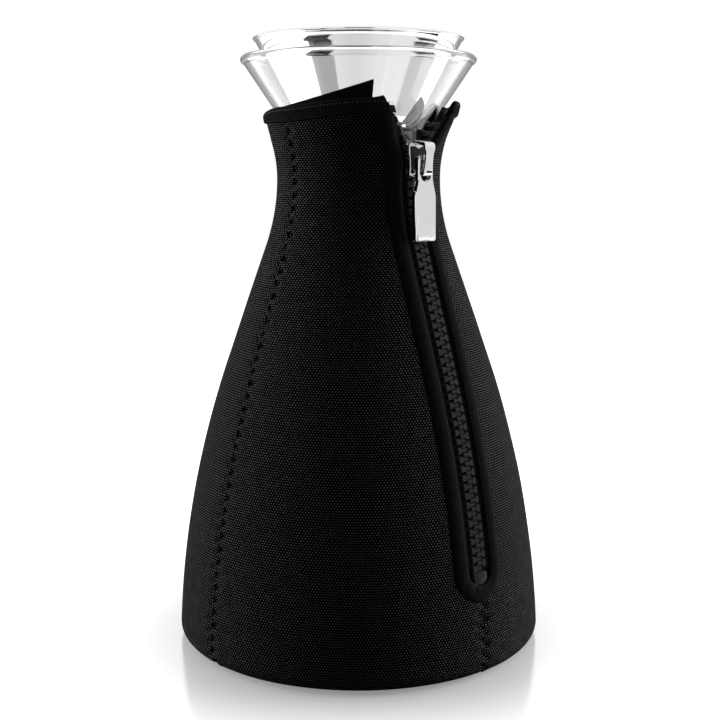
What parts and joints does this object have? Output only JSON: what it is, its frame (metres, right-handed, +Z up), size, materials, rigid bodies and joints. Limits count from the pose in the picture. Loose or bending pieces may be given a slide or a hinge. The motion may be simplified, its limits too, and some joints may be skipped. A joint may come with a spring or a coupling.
{
  "type": "coffee brewing carafe",
  "caption": "Conical glass coffee carafe in a zipped black neoprene jacket, with a steel pouring funnel, a lift-out filter tube and a tilting weighted lid.",
  "frame": {"origin": "middle of the jacket's underside, on the table", "axes": "+Z up along the carafe's axis, the zip faces -Y and the left flap is towards -X"},
  "size_m": [0.1424, 0.1424, 0.2312],
  "materials": {
    "glass": "clear polished borosilicate",
    "neoprene": "woven polyester face on foam",
    "binding": "smooth knitted binding",
    "zip_plastic": "satin moulded acetal",
    "zip_tape": "woven tape",
    "chrome": "bright nickel plate on zinc",
    "steel": "mirror polished stainless steel",
    "silicone": "black food-grade silicone",
    "nylon": "moulded food-grade nylon",
    "gauze": "fine woven stainless gauze"
  },
  "bodies": {
    "jacketed_glass": {"glass_carafe": "glass", "jacket_panel_front_left": "neoprene", "jacket_panel_front_right": "neoprene", "jacket_panel_back_left": "neoprene", "jacket_panel_back_right": "neoprene", "jacket_base": "neoprene", "collar_binding": "binding", "zip_facing_left": "binding", "zip_facing_right": "binding", "zip_welt": "binding", "zip_teeth_left": "zip_plastic", "zip_teeth_right": "zip_plastic", "zip_tape_left": "zip_tape", "zip_tape_right": "zip_tape", "zip_top_stop_left": "zip_plastic", "zip_top_stop_right": "zip_plastic", "zip_bottom_stop": "zip_plastic"},
    "slider": {"zip_slider": "chrome"},
    "pull": {"zip_pull": "chrome"},
    "funnel": {"pouring_funnel": "steel", "funnel_gasket": "silicone"},
    "filter": {"filter_collar": "nylon", "filter_cage": "nylon", "filter_mesh": "gauze", "filter_end_cap": "nylon"},
    "lid": {"lid_disc": "steel", "lid_boss": "nylon", "lid_axle": "steel", "lid_stem": "steel", "lid_counterweight": "steel"}
  },
  "joints": [
    {"name": "zip_travel", "type": "hinge", "parent": "jacketed_glass", "child": "slider", "pos_m": [0, -0.108, 0.1787], "axis": [-1, 0, 0], "range_deg": [0, 22], "deforming": ["zip_teeth_left", "zip_teeth_right", "zip_tape_left", "zip_tape_right"]},
    {"name": "pull_swing", "type": "hinge", "parent": "slider", "child": "pull", "pos_m": [0, -0.03688, 0.18594], "axis": [-1, 0, 0], "range_deg": [0, 130]},
    {"name": "funnel_lift", "type": "slide", "parent": "jacketed_glass", "child": "funnel", "axis": [0, 0, 1], "range_m": [0, 0.125]},
    {"name": "filter_lift", "type": "slide", "parent": "funnel", "child": "filter", "axis": [0, 0, 1], "range_m": [0, 0.13]},
    {"name": "lid_tilt", "type": "hinge", "parent": "filter", "child": "lid", "pos_m": [0, 0, 0.1963], "axis": [1, 0, 0], "range_deg": [-80, 80]}
  ]
}
